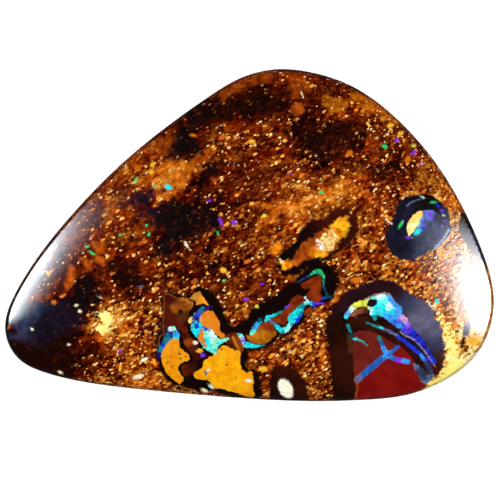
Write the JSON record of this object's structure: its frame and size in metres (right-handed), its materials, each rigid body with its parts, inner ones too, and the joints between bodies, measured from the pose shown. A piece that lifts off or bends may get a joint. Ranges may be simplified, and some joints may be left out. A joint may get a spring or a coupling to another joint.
{
  "type": "boulder opal cabochon",
  "caption": "Polished freeform boulder opal: a low-domed ironstone cabochon with rounded triangular outline, opal seams in its face and a flat back to rest on or set in a mount.",
  "frame": {"origin": "middle of the stone's outline, on the plane of its flat back", "axes": "+Z out of the domed face, +X along the length towards the broad end, +Y across the width towards the crest of the outline"},
  "size_m": [0.0392, 0.0266, 0.006],
  "materials": {
    "boulder_opal": "polished"
  },
  "bodies": {
    "root": {"boulder_opal": "boulder_opal"}
  },
  "joints": []
}
